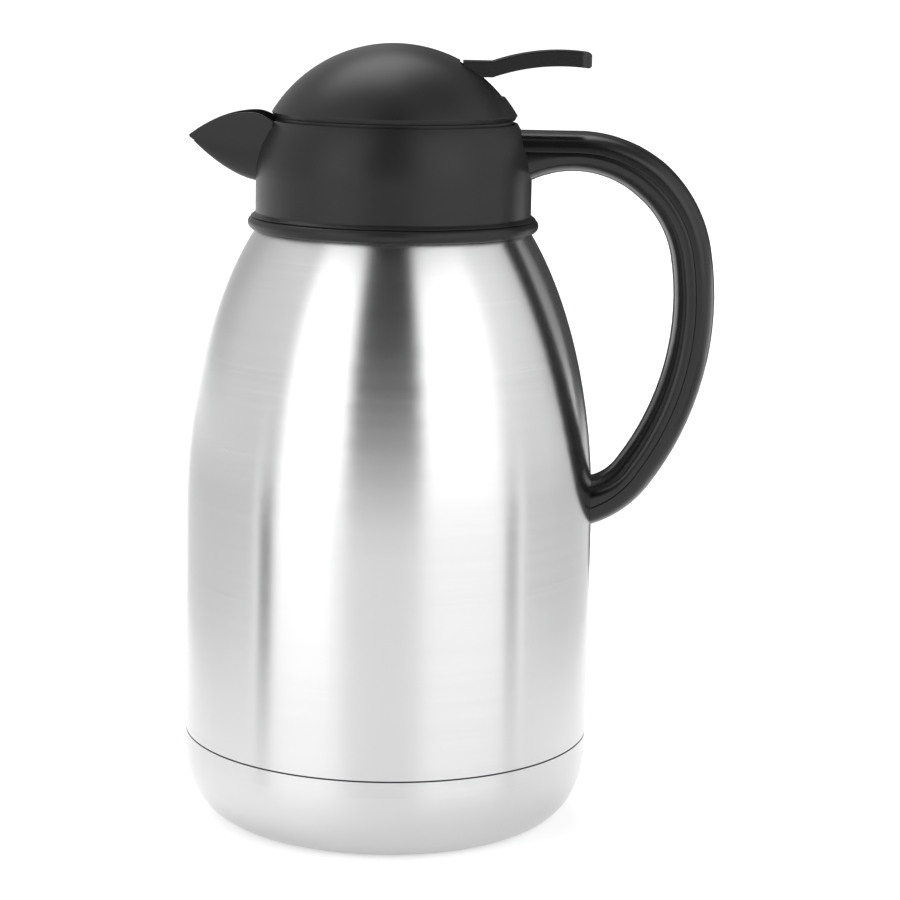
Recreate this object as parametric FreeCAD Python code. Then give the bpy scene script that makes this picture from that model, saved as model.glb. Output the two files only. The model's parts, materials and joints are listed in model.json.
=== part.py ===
import FreeCAD, Part
import math
import os
from FreeCAD import Vector

# Vacuum jug. Millimetres, +Z up, origin on the axis at the resting face.
# The handle is on the +X side and the spout on the -X side.

# Steel body
body_radius = 75.0
steel_wall = 1.0
cylinder_top = 113.5
shoulder_radial = 64.0
shoulder_axial = 131.5
neck_length = 6.455
seam_height = 31.6
seam_gap = 0.6
skirt_depth = 5.2
weld_gap = 0.05
base_corner_radial = 17.5
base_corner_axial = 25.8
rest_ring_width = 13.0
base_recess = 3.0

# Inner flask and vacuum space
vacuum_gap = 6.0
mouth_radius = 33.0
lip_width = 9.0
flask_floor_gap = 5.0
flask_corner_radial = 20.0
flask_corner_axial = 24.0
port_radius = 3.0
port_cap_radius = 7.0
port_cap_height = 1.0
getter_radius = 8.0
getter_height = 1.0
gasket_height = 1.5
gasket_inset = 0.5

# Collar and bead
collar_overhang = 8.1
collar_above_web = 17.0
collar_web = 2.5
collar_wall = 2.6
collar_flare = 1.7
collar_flare_height = 1.3
collar_straight = 15.1
collar_crown_depth = 5.6
collar_mouth_wall = 1.1
collar_mouth_depth = 8.0
bead_height = 4.9
bead_stand = 2.8
bead_root = 4.0
bead_seat = 0.1

# Threaded sleeve and stopper
sleeve_wall = 2.2
sleeve_depth = 12.0
sleeve_flange = 5.4
sleeve_flange_height = 2.0
turning_gap = 0.3
seal_edge_gap = 0.1
stopper_wall = 2.8
stopper_reach = 14.0
stopper_floor = 3.0
stopper_seal_height = 3.0
stopper_seal_depth = 1.2
stopper_seal_offset = 4.0
window_count = 6
window_width = 14.0
window_height = 8.0
deck_height = 3.0
deck_below_rim = 1.0
deck_clearance = 0.6
lid_gasket_depth = 1.8
lid_gasket_height = 1.5
lid_gasket_rise = 0.9
guide_radius = 4.6
guide_length = 4.0
guide_collar_height = 3.0

# Dome
dome_gap = 1.2
dome_rise = 26.8
dome_overhang = 1.0
dome_lip_height = 1.7
dome_lip_inset = 0.9
dome_wall = 2.5
dome_skirt_wall = 2.2
slot_top = 23.3
slot_floor = 8.2
slot_side_gap = 0.6

# Spout
spout_sink = 7.0
spout_reach = 24.7
spout_half_width = 15.0
spout_wall = 2.0
spout_top_rise = 2.8
spout_tip_drop = 6.4
spout_keel_drop = 22.5
spout_crest_share = 0.24
spout_keel_share = 0.15
spout_top_power = 2.05
spout_keel_power = 1.7
spout_plan_power = 0.8
spout_channel_share = 0.84
spout_station_shares = (0.0, 0.08, 0.16, 0.24, 0.4, 0.6, 0.78, 0.9, 0.985)
spout_lip_length = 2.2
spout_lip_edge = 0.3
spout_lip_drop = 1.6

# Thumb lever
lever_width = 18.0
lever_pivot_x = 16.0
lever_pivot_rise = 14.0
lever_hub_radius = 4.0
lever_tip = 70.5
lever_tip_corner = 4.0
lever_thickness = 5.5
lever_tip_rounding = 1.2
lever_root_flat = 3.0
lever_root_top = 23.2
lever_root_end = 35.0
lever_crest_x = 55.0
lever_crest_rise = 27.4
lever_tip_rise = 27.0
lever_edge = 1.0
lever_pin_radius = 1.5
lever_pin_play = 0.05
ear_wall = 3.0
ear_half_length = 4.5
fork_outer = 6.5
fork_gap = 0.7
fork_nub_radius = 1.5
fork_depth = 3.4
fork_length = 9.0

# Pour valve
stem_radius = 2.5
stem_play = 0.05
stem_socket = 2.2
stem_cap_radius = 6.5
stem_cap_height = 3.4
stem_cap_rise = 11.8
stem_cap_rounding = 0.85
nub_gap = 0.15
seat_radius = 10.5
seat_wall = 2.0
seat_rise = 1.0
seat_gap = 0.1
valve_gasket_height = 1.5
valve_gasket_overlap = 1.2
valve_plug_radius = 14.0
valve_plug_height = 2.4
valve_hub_radius = 4.6
valve_hub_height = 4.0
valve_nose_depth = 0.5
valve_nose_radius = 9.5
spring_wire_radius = 0.6
spring_turns = 6
spring_end_gap = 0.3
spring_hub_gap = 0.7

# Handle
handle_rise = 24.9
handle_thickness = 14.0
handle_grip_thickness = 15.5
handle_foot_thickness = 19.4
handle_depth = 24.0
handle_wall = 2.6
handle_corner = 6.0
handle_parting_gap = 0.05
handle_groove = 0.6
handle_flat = 0.4
handle_bend_inset = 9.5
handle_bend_radii = (43.8, 44.5, 105.7, 28.1)
handle_bend_degrees = (41.2, 38.6, 48.4, 35.3)
handle_plain_count = 2
handle_foot_run = 12.0
handle_flare = 4.0
handle_foot_flare = 5.4
handle_flare_power = 2.2
handle_station_shares = (0.0, 0.25, 0.5, 0.75, 1.0)
handle_seat_gap = 0.1
tongue_gap = 0.4
tongue_length = 11.0
screw_radius = 1.5
screw_play = 0.05
screw_head_radius = 2.8
screw_head_height = 1.2
screw_sink = 0.3
top_screw_reach = 6.0
top_screw_length = 9.0
foot_screw_degrees = 16.0
foot_screw_length = 11.0
foot_boss_radius = 4.4
lug_thickness = 3.0
lug_clearance = 1.4
lug_outer = 5.0
lug_run = 25.0
lug_pad_height = 11.0
lug_pad_thickness = 1.2

# Radii worked out from the values above
neck_radius = mouth_radius + lip_width
skirt_radius = body_radius - steel_wall - weld_gap
rest_radius = body_radius - base_corner_radial
shoulder_centre = body_radius - shoulder_radial
flask_radius = body_radius - steel_wall - vacuum_gap
collar_radius = neck_radius + collar_overhang
collar_rim_radius = collar_radius - collar_crown_depth
collar_mouth = collar_rim_radius - collar_mouth_wall
sleeve_outer = mouth_radius - turning_gap
sleeve_inner = sleeve_outer - sleeve_wall
stopper_radius = sleeve_inner - 2 * turning_gap
stopper_inner = stopper_radius - stopper_wall
deck_radius = collar_mouth - deck_clearance
dome_edge_radius = collar_mouth + dome_overhang
dome_crown = dome_rise - dome_lip_height
dome_radius = (dome_crown ** 2 + dome_edge_radius ** 2) / (2 * dome_crown)
spout_root = collar_radius - spout_sink
spout_tip = collar_radius + spout_reach
tongue_end = collar_radius + tongue_length
top_screw_x = collar_radius + top_screw_reach
handle_straight_end = body_radius - handle_bend_inset


def shoulder_height(radius):
    """Height of the steel shoulder's outside at a given radius."""
    share = (radius - shoulder_centre) / shoulder_radial
    return cylinder_top + shoulder_axial * math.sqrt(1 - share ** 2)


# Heights worked out from the values above
skirt_bottom = seam_height + seam_gap - skirt_depth
flask_bottom = skirt_bottom + steel_wall + flask_floor_gap
lip_height = shoulder_height(neck_radius) + neck_length
lip_top = lip_height + steel_wall
web_bottom = lip_top + gasket_height
web_top = web_bottom + collar_web
collar_bottom = shoulder_height(collar_radius) + bead_seat + bead_height
collar_rim = web_top + collar_above_web
deck_top = collar_rim - deck_below_rim
deck_bottom = deck_top - deck_height
dome_edge = collar_rim + dome_gap
dome_top = dome_edge + dome_rise
sleeve_bottom = web_top - sleeve_depth
stopper_bottom = web_top - stopper_reach
floor_top = stopper_bottom + stopper_floor
seat_top = floor_top + seat_rise
gasket_low = seat_top + seat_gap
plug_low = gasket_low + valve_gasket_height
plug_top = plug_low + valve_plug_height
pivot_height = deck_top + lever_pivot_rise
cap_low = deck_top + stem_cap_rise
cap_top = cap_low + stem_cap_height
handle_height = collar_bottom + handle_rise

dome_centre = dome_top - dome_radius
axis_z = Vector(0, 0, 1)


def at(x, z):
    """Point in the jug's middle plane."""
    return Vector(x, 0, z)


def run(*stops):
    """Edges through (x, z) stops, where a stop of two points is an arc's middle and its end."""
    edges = []
    here = stops[0]
    for stop in stops[1:]:
        if isinstance(stop[0], tuple):
            middle, end = stop
            edges.append(Part.Arc(at(*here), at(*middle), at(*end)).toShape())
        else:
            end = stop
            edges.append(Part.LineSegment(at(*here), at(*end)).toShape())
        here = end
    return edges


def ellipse_arc(centre_x, centre_z, radial, axial, low, high):
    """Arc of an upright ellipse between two angles counted from +X towards +Z."""
    centre = at(centre_x, centre_z)
    side = at(centre_x + radial, centre_z)
    top = at(centre_x, centre_z + axial)
    if axial > radial:
        return Part.Ellipse(top, side, centre).toShape(math.pi / 2 - high, math.pi / 2 - low)
    return Part.Ellipse(side, top, centre).toShape(low, high)


def face_of(edges):
    return Part.Face(Part.Wire(Part.__sortEdges__(edges)))


def spun(edges):
    """Solid of revolution about the jug's axis."""
    return face_of(edges).revolve(Vector(), axis_z, 360)


def ring(inner, outer, low, high):
    return spun(run((inner, low), (outer, low), (outer, high), (inner, high), (inner, low)))


def disc(radius, low, high):
    return Part.makeCylinder(radius, high - low, at(0, low), axis_z)


def block(low, high):
    """Box between two corners."""
    size = [b - a for a, b in zip(low, high)]
    return Part.makeBox(*size, Vector(*low))


def slab(edges, half_width):
    """Outline in the middle plane, made as wide as twice half_width along Y."""
    face = face_of(edges)
    face.translate(Vector(0, -half_width, 0))
    return face.extrude(Vector(0, 2 * half_width, 0))


def fused(first, *others):
    return first.fuse(list(others)).removeSplitter()


def shoulder_angle(offset, radius):
    """Angle on the shoulder's ellipse, grown by offset, where it has a given radius."""
    return math.acos((radius - shoulder_centre) / (shoulder_radial + offset))


def shoulder(offset, radius):
    """Shoulder arc from the cylinder's top to a given radius, and the height of its upper end."""
    angle = shoulder_angle(offset, radius)
    radial = shoulder_radial + offset
    axial = shoulder_axial + offset
    edge = ellipse_arc(shoulder_centre, cylinder_top, radial, axial, 0, angle)
    return edge, cylinder_top + axial * math.sin(angle)


def body_solid(offset):
    """The steel body's outside, filled and grown by offset, to cut what lies against it."""
    arc, high = shoulder(offset, neck_radius)
    wide = body_radius + offset
    low = seam_height
    edges = run((0, high), (0, low), (wide, low), (wide, cylinder_top))
    return spun(edges + [arc] + run((neck_radius, high), (0, high)))


def outer_shell():
    """Spun wall with its shoulder and neck, stepped in below the seam to fit the base."""
    inner = -steel_wall
    outer_arc, outer_high = shoulder(0, neck_radius)
    inner_arc, inner_high = shoulder(inner, neck_radius - steel_wall)
    seam_top = seam_height + seam_gap
    bore = body_radius - steel_wall
    skirt_bore = skirt_radius - steel_wall
    outside = run((skirt_bore, skirt_bottom), (skirt_radius, skirt_bottom), (skirt_radius, seam_top),
                  (body_radius, seam_top), (body_radius, cylinder_top))
    neck = run((neck_radius, outer_high), (neck_radius, lip_height),
               (neck_radius - steel_wall, lip_height), (neck_radius - steel_wall, inner_high))
    inside = run((bore, cylinder_top), (bore, seam_top + steel_wall), (skirt_bore, seam_top + steel_wall),
                 (skirt_bore, skirt_bottom))
    return spun(outside + [outer_arc] + neck + [inner_arc] + inside)


def base_edges(offset):
    """Half outline of the base cup's surface, set in by offset, from its rim to the axis."""
    radius = body_radius - offset
    corner = ellipse_arc(rest_radius, base_corner_axial, base_corner_radial - offset,
                         base_corner_axial - offset, -math.pi / 2, 0)
    step = rest_radius - rest_ring_width
    return (run((radius, seam_height), (radius, base_corner_axial)) + [corner]
            + run((rest_radius, offset), (step + offset, offset),
                  (step - base_recess + offset, base_recess + offset), (0, base_recess + offset)))


def base_shell():
    """Pressed bottom cup with a flat ring to stand on and a raised middle."""
    rim = run((body_radius, seam_height), (body_radius - steel_wall, seam_height))
    middle = run((0, base_recess), (0, base_recess + steel_wall))
    return spun(base_edges(0) + middle + base_edges(steel_wall) + rim)


def vacuum_floor():
    """Welded bottom of the vacuum space, a shallow dish with the pump-out hole."""
    outer = skirt_radius - steel_wall - weld_gap
    inner = outer - steel_wall
    low = skirt_bottom
    top = low + steel_wall
    rim = seam_height + seam_gap
    return spun(run((port_radius, low), (outer, low), (outer, rim), (inner, rim), (inner, top),
                    (port_radius, top), (port_radius, low)))


def flask_edges(wall):
    """Half outline of the flask, set in by wall, from the axis to the top of its neck."""
    radius = flask_radius - wall
    neck = mouth_radius + steel_wall - wall
    radial = flask_corner_radial - wall
    axial = flask_corner_axial - wall
    corner_height = flask_bottom + flask_corner_axial
    corner = ellipse_arc(flask_radius - flask_corner_radial, corner_height, radial, axial, -math.pi / 2, 0)
    gap = -steel_wall - vacuum_gap - wall
    arc, high = shoulder(gap, neck)
    low = flask_bottom + wall
    floor = run((0, low), (flask_radius - flask_corner_radial, low))
    side = run((radius, corner_height), (radius, cylinder_top))
    return floor + [corner] + side + [arc], (neck, high)


def inner_vessel():
    """Inner flask: rounded bottom, shoulder, neck, and the lip that meets the outer wall."""
    outside, outer_neck = flask_edges(0)
    inside, inner_neck = flask_edges(steel_wall)
    lip = run(outer_neck, (outer_neck[0], lip_height), (neck_radius, lip_height), (neck_radius, lip_top),
              (inner_neck[0], lip_top), inner_neck)
    floor = run((0, flask_bottom), (0, flask_bottom + steel_wall))
    return spun(outside + lip + inside + floor)


def collar_outside():
    """Outside of the collar: a small flare on the bead, a straight wall and a crown up to the rim."""
    flare_top = collar_bottom + collar_flare_height
    crown_low = collar_bottom + collar_straight
    crown = arc_along(at(collar_radius, crown_low), axis_z, at(collar_rim_radius, collar_rim))
    return run((collar_radius + collar_flare, collar_bottom), (collar_radius, flare_top),
               (collar_radius, crown_low)) + [crown]


def collar_solid():
    """The collar's outside, filled, to trim what is fixed against it."""
    top = run((collar_rim_radius, collar_rim), (0, collar_rim), (0, collar_bottom),
              (collar_radius + collar_flare, collar_bottom))
    return spun(collar_outside() + top)


def spout_station(share):
    """Place, half width, top and keel heights of the beak at a share of its length."""
    x = -(spout_root + share * (spout_tip - spout_root))
    crest = collar_rim + spout_top_rise
    if share < spout_crest_share:
        top = collar_rim + spout_top_rise * math.sin(math.pi / 2 * share / spout_crest_share)
    else:
        fall = (share - spout_crest_share) / (1 - spout_crest_share)
        top = crest - (spout_top_rise + spout_tip_drop) * fall ** spout_top_power
    climb = max(0.0, (share - spout_keel_share) / (1 - spout_keel_share))
    keel = collar_rim - spout_keel_drop + (spout_keel_drop - spout_tip_drop) * climb ** spout_keel_power
    return x, spout_half_width * (1 - share) ** spout_plan_power, top, keel


def beak_section(x, half_width, top, keel):
    """Half-round section across the beak, closed by a line along its top."""
    left = Vector(x, -half_width, top)
    right = Vector(x, half_width, top)
    depth = top - keel
    centre = Vector(x, 0, top)
    bottom = Vector(x, 0, keel)
    if depth > half_width:
        bowl = Part.Ellipse(bottom, right, centre).toShape(-math.pi / 2, math.pi / 2)
    else:
        bowl = Part.Ellipse(right, bottom, centre).toShape(0, math.pi)
    return Part.Wire([bowl, Part.LineSegment(left, right).toShape()])


def spout_outside():
    """The beak, filled, with a thin lip at its tip."""
    sections = [beak_section(*spout_station(share)) for share in spout_station_shares]
    tip_height = collar_rim - spout_tip_drop
    lip_end = spout_lip_length - spout_tip
    below = tip_height - spout_keel_drop
    under_lip = run((-spout_tip, tip_height - spout_lip_edge), (lip_end, tip_height - spout_lip_drop),
                    (lip_end, below), (-spout_tip, below), (-spout_tip, tip_height - spout_lip_edge))
    return Part.makeLoft(sections, True, False).cut(slab(under_lip, spout_half_width))


def spout_channel():
    """Hollow of the beak, its way in through the collar's wall, and the open space over it."""
    stations = [spout_station(share * spout_channel_share) for share in spout_station_shares]
    sections = [beak_section(x, half - spout_wall, top, keel + spout_wall) for x, half, top, keel in stations]
    hollow = Part.makeLoft(sections, True, False)
    x, half, top, keel = stations[0]
    half -= spout_wall
    way_in = Part.Face(sections[0]).extrude(Vector(-x, 0, 0)).common(block((x, -half, web_top), (0, half, top)))
    lids = [section.Edges[1].extrude(Vector(0, 0, collar_above_web)).OuterWire for section in sections]
    return hollow, way_in, Part.makeLoft(lids, True, True)


def collar():
    """Collar with its spout, pour chamber, web on the neck, and tongue for the handle."""
    wall = collar_wall
    skirt = collar_radius - wall
    mouth_low = collar_rim - collar_mouth_depth
    inside = run((collar_rim_radius, collar_rim), (collar_mouth, collar_rim), (collar_mouth, mouth_low),
                 (skirt, web_top), (mouth_radius, web_top), (mouth_radius, web_bottom), (skirt, web_bottom),
                 (skirt, collar_bottom), (collar_radius + collar_flare, collar_bottom))
    shell = spun(collar_outside() + inside)
    filled = collar_solid()
    beak = spout_outside().cut(filled)
    body = fused(shell, beak)
    for hollow in spout_channel():
        body = body.cut(hollow)
    keep_outside = disc(collar_mouth, deck_bottom - deck_clearance, collar_rim)
    body = body.cut(keep_outside)
    half_high = handle_thickness / 2 - handle_wall - tongue_gap
    half_deep = handle_depth / 2 - handle_wall - tongue_gap
    tongue = block((0, -half_deep, handle_height - half_high), (tongue_end, half_deep, handle_height + half_high))
    tongue = tongue.cut(filled)
    body = fused(body, tongue)
    return body.cut(top_screw_hole(screw_radius + screw_play))


def collar_ring():
    """Round bead that covers the joint of the steel shoulder and the collar."""
    high = collar_bottom
    low = high - bead_height
    outer = collar_radius + bead_stand
    half = bead_height / 2
    inner = collar_radius - bead_root
    edges = run((inner, low), (outer - half, low), ((outer, low + half), (outer - half, high)), (inner, high),
                (inner, low))
    return spun(edges).cut(body_solid(weld_gap))


def collar_sleeve():
    """Threaded sleeve in the steel neck, with a flange on the collar's web."""
    flange = sleeve_outer + sleeve_flange
    return spun(run((sleeve_inner, sleeve_bottom), (sleeve_outer, sleeve_bottom), (sleeve_outer, web_top),
                    (flange, web_top), (flange, web_top + sleeve_flange_height),
                    (sleeve_inner, web_top + sleeve_flange_height), (sleeve_inner, sleeve_bottom)))


def seal_span():
    """Low and high ends of the stopper's seal groove."""
    low = stopper_bottom + stopper_seal_offset
    return low, low + stopper_seal_height


def stopper_body():
    """Hollow plug with pour windows, a valve seat in its floor, and a deck that carries the lever."""
    groove = stopper_radius - stopper_seal_depth
    seal_low, seal_high = seal_span()
    seat_outer = seat_radius + seat_wall
    gasket_low_z = deck_bottom + lid_gasket_rise
    gasket_high_z = gasket_low_z + lid_gasket_height
    gasket_root = deck_radius - lid_gasket_depth
    guide_bore = stem_radius + stem_play
    body = spun(run(
        (seat_radius, stopper_bottom), (stopper_radius, stopper_bottom), (stopper_radius, seal_low),
        (groove, seal_low), (groove, seal_high), (stopper_radius, seal_high), (stopper_radius, deck_bottom),
        (deck_radius, deck_bottom), (deck_radius, gasket_low_z), (gasket_root, gasket_low_z),
        (gasket_root, gasket_high_z), (deck_radius, gasket_high_z), (deck_radius, deck_top),
        (guide_radius, deck_top), (guide_radius, deck_top + guide_collar_height),
        (guide_bore, deck_top + guide_collar_height), (guide_bore, deck_bottom - guide_length),
        (guide_radius, deck_bottom - guide_length), (guide_radius, deck_bottom), (stopper_inner, deck_bottom),
        (stopper_inner, floor_top), (seat_outer, floor_top), (seat_outer, seat_top), (seat_radius, seat_top),
        (seat_radius, stopper_bottom)))
    window_top = deck_bottom - turning_gap
    window = block((0, -window_width / 2, window_top - window_height),
                   (stopper_radius + turning_gap, window_width / 2, window_top))
    reach = disc(stopper_inner - turning_gap, window_top - window_height, window_top)
    window = window.cut(reach)
    for index in range(window_count):
        turned = window.copy()
        turned.rotate(Vector(), axis_z, index * 360 / window_count)
        body = body.cut(turned)
    return fused(body, lever_ear(1), lever_ear(-1))


def lever_ear(side):
    """Upright ear on the deck that holds one end of the lever's pin."""
    near = lever_width / 2 + turning_gap
    half = ear_half_length
    outline = run((lever_pivot_x + half, pivot_height), (lever_pivot_x + half, deck_top),
                  (lever_pivot_x - half, deck_top), (lever_pivot_x - half, pivot_height),
                  ((lever_pivot_x, pivot_height + half), (lever_pivot_x + half, pivot_height)))
    ear = slab(outline, ear_wall / 2)
    ear.translate(Vector(0, side * (near + ear_wall / 2), 0))
    return ear.cut(pin_solid(lever_pin_radius + lever_pin_play, near + 2 * ear_wall))


def pin_solid(radius, half_length):
    return Part.makeCylinder(radius, 2 * half_length, Vector(lever_pivot_x, -half_length, pivot_height),
                             Vector(0, 1, 0))


def lever_pin():
    return pin_solid(lever_pin_radius, lever_width / 2 + turning_gap + ear_wall)


def stopper_seal():
    """Ring in the plug's groove that seals against the sleeve."""
    seal_low, seal_high = seal_span()
    inner = stopper_radius - stopper_seal_depth + seal_edge_gap
    outer = sleeve_inner - turning_gap
    return ring(inner, outer, seal_low + seal_edge_gap, seal_high - seal_edge_gap)


def lid_gasket():
    """Ring round the deck's edge that seals the pour chamber under the dome."""
    low = deck_bottom + lid_gasket_rise
    outer = collar_mouth - turning_gap
    inner = deck_radius - lid_gasket_depth + turning_gap
    return ring(inner, outer, low + seal_edge_gap, low + lid_gasket_height - seal_edge_gap)


def dome_point(sphere, radius):
    """Point at a given radius on one of the dome's two spheres."""
    return radius, dome_centre + math.sqrt(sphere ** 2 - radius ** 2)


def lid_dome():
    """Domed cover on the stopper's deck, slotted at the back for the lever."""
    inner = dome_radius - dome_wall
    skirt_outer = deck_radius - weld_gap
    skirt_inner = skirt_outer - dome_skirt_wall
    widest = (dome_edge_radius, dome_edge + dome_lip_height)
    edges = run((0, dome_top), (dome_point(dome_radius, dome_edge_radius / 2), widest),
                (dome_edge_radius - dome_lip_inset, dome_edge), (skirt_outer, dome_edge),
                (skirt_outer, deck_top), (skirt_inner, deck_top),
                dome_point(inner, skirt_inner), (dome_point(inner, skirt_inner / 2), (0, dome_centre + inner)),
                (0, dome_top))
    dome = spun(edges)
    half = lever_width / 2 + slot_side_gap
    slot = block((slot_top, -half, dome_edge + slot_floor), (dome_radius, half, dome_top))
    return dome.cut(slot)


def thumb_lever():
    """Lever: paddle for the thumb, hub on the pin, and a fork under the stem's head."""
    half = lever_width / 2
    root_high = deck_top + lever_root_top
    root_low = root_high - lever_thickness
    crest_high = deck_top + lever_crest_rise
    tip_high = deck_top + lever_tip_rise
    tip_low = tip_high - lever_thickness
    root_x = slot_top + lever_edge
    hub_top = (lever_pivot_x, pivot_height + lever_hub_radius)
    hub_low = (lever_pivot_x, pivot_height - lever_hub_radius)
    round_x = lever_tip - lever_tip_rounding
    bend = lever_tip_rounding * (1 - math.sqrt(0.5))
    upper_corner = ((lever_tip - bend, tip_high - bend), (lever_tip, tip_high - lever_tip_rounding))
    lower_corner = ((lever_tip - bend, tip_low + bend), (round_x, tip_low))
    outline = run(hub_top, (root_x, root_low), (root_x, root_high), (lever_root_end, root_high),
                  ((lever_crest_x, crest_high), (round_x, tip_high)), upper_corner,
                  (lever_tip, tip_low + lever_tip_rounding), lower_corner,
                  ((lever_crest_x, crest_high - lever_thickness), (lever_root_end, root_low)),
                  (lever_root_end - lever_root_flat, root_low), hub_low, hub_top)
    lever = slab(outline, half)
    plan = plan_outline(lever_pivot_x - lever_hub_radius, lever_tip, half, lever_tip_corner)
    plan.translate(Vector(0, 0, deck_top))
    lever = lever.common(plan.extrude(Vector(0, 0, dome_top)))
    hub = Part.makeCylinder(lever_hub_radius, lever_width, Vector(lever_pivot_x, -half, pivot_height),
                            Vector(0, 1, 0))
    fork_top = cap_low - nub_gap - fork_nub_radius / 2
    fork = block((-fork_nub_radius, -fork_outer, fork_top - fork_depth),
                 (lever_pivot_x, fork_outer, fork_top))
    nub = Part.makeCylinder(fork_nub_radius, 2 * fork_outer,
                            Vector(0, -fork_outer, cap_low - nub_gap - fork_nub_radius), Vector(0, 1, 0))
    slit = stem_radius + fork_gap
    gap = block((-2 * fork_nub_radius, -slit, deck_top), (fork_length, slit, dome_top))
    hook = fused(fork, nub).cut(gap)
    lever = fused(lever, hub, hook)
    return lever.cut(pin_solid(lever_pin_radius + lever_pin_play, lever_width))


def plan_outline(back, front, half, corner):
    """Face in plan: square at the back, with rounded corners at the front."""
    bend = corner * (1 - math.sqrt(0.5))
    points = [Vector(back, -half, 0), Vector(front - corner, -half, 0), Vector(front, -half + corner, 0),
              Vector(front, half - corner, 0), Vector(front - corner, half, 0), Vector(back, half, 0)]
    right = Part.Arc(points[1], Vector(front - bend, -half + bend, 0), points[2]).toShape()
    left = Part.Arc(points[3], Vector(front - bend, half - bend, 0), points[4]).toShape()
    straight = [Part.LineSegment(points[a], points[b]).toShape() for a, b in ((0, 1), (2, 3), (4, 5), (5, 0))]
    return face_of(straight + [right, left])


def valve_plug():
    """Disc that closes the seat, with a nose for its gasket and a hub for the stem and spring."""
    socket = stem_radius + stem_play
    hub_top = plug_top + valve_hub_height
    return spun(run((0, gasket_low + valve_nose_depth), (valve_nose_radius, gasket_low + valve_nose_depth),
                    (valve_nose_radius, plug_low), (valve_plug_radius, plug_low), (valve_plug_radius, plug_top),
                    (valve_hub_radius, plug_top), (valve_hub_radius, hub_top), (socket, hub_top),
                    (socket, hub_top - stem_socket), (0, hub_top - stem_socket),
                    (0, gasket_low + valve_nose_depth)))


def valve_gasket():
    outer = seat_radius + seat_wall + valve_gasket_overlap
    return ring(valve_nose_radius + weld_gap, outer, gasket_low, plug_low)


def valve_stem():
    return disc(stem_radius, plug_top + valve_hub_height - stem_socket, cap_low + stem_socket)


def stem_cap():
    """Head of the stem, which the lever's fork lifts."""
    socket = stem_radius + stem_play
    rounding = stem_cap_rounding
    bend = rounding * (1 - math.sqrt(0.5))
    corner = ((stem_cap_radius - bend, cap_top - bend), (stem_cap_radius - rounding, cap_top))
    return spun(run((socket, cap_low), (stem_cap_radius, cap_low), (stem_cap_radius, cap_top - rounding), corner,
                    (0, cap_top), (0, cap_low + stem_socket), (socket, cap_low + stem_socket), (socket, cap_low)))


def biarc(start, start_way, end, end_way):
    """Two tangent arcs from one point and direction to another."""
    span = end - start
    lead = span.dot(start_way + end_way)
    bend = 2 * (1 - start_way.dot(end_way))
    reach = (-lead + math.sqrt(lead * lead + bend * span.dot(span))) / bend
    before = start + start_way * reach
    after = end - end_way * reach
    joint = (before + after) * 0.5
    return [arc_along(start, start_way, joint), arc_along(joint, after - before, end)]


def arc_along(start, way, end):
    """Arc that leaves start along way and ends at end."""
    chord = end - start
    along = Vector(chord).normalize()
    ahead = Vector(way).normalize()
    cosine = along.dot(ahead)
    side = (ahead - along * cosine).normalize()
    rise = chord.Length / 2 * math.tan(math.acos(cosine) / 2)
    return Part.Arc(start, start + chord * 0.5 + side * rise, end).toShape()


def valve_spring():
    """Closing spring between the plug and the deck: one helical wire."""
    radius = valve_hub_radius + spring_hub_gap + spring_wire_radius
    low = plug_top + spring_end_gap + spring_wire_radius
    high = deck_bottom - spring_end_gap - spring_wire_radius
    climb = (high - low) / (spring_turns * 2 * math.pi)

    def place(angle):
        return Vector(radius * math.cos(angle), radius * math.sin(angle), low + climb * angle)

    def way(angle):
        return Vector(-radius * math.sin(angle), radius * math.cos(angle), climb).normalize()

    edges = []
    quarter = math.pi / 2
    for index in range(spring_turns * 4):
        a = index * quarter
        edges += biarc(place(a), way(a), place(a + quarter), way(a + quarter))
    path = Part.Wire(edges)
    section = Part.Wire(Part.Circle(place(0), way(0), spring_wire_radius).toShape())
    points = [place(index * quarter / 6) for index in range(spring_turns * 24 + 1)]
    gap = min((a - b).Length for i, a in enumerate(points) for b in points[i + 12:]) - 2 * spring_wire_radius
    print("valve_spring gap to itself", round(gap, 3))
    return path.makePipeShell([section], True, False)


def handle_stops():
    """Points, headings in degrees and arc middles along the handle's centre line."""
    place = Vector(handle_straight_end, 0, handle_height)
    heading = 0.0
    stops = [(place, heading)]
    middles = []
    centres = []
    for radius, turn in zip(handle_bend_radii, handle_bend_degrees):
        centre = place - outward(heading) * radius
        middles.append(centre + outward(heading - turn / 2) * radius)
        heading -= turn
        place = centre + outward(heading) * radius
        stops.append((place, heading))
        centres.append(centre)
    return stops, middles, centres


def outward(heading):
    """Direction from the handle's centre line to its outer side."""
    angle = math.radians(heading)
    return Vector(-math.sin(angle), 0, math.cos(angle))


def forward(heading):
    angle = math.radians(heading)
    return Vector(math.cos(angle), 0, math.sin(angle))


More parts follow.
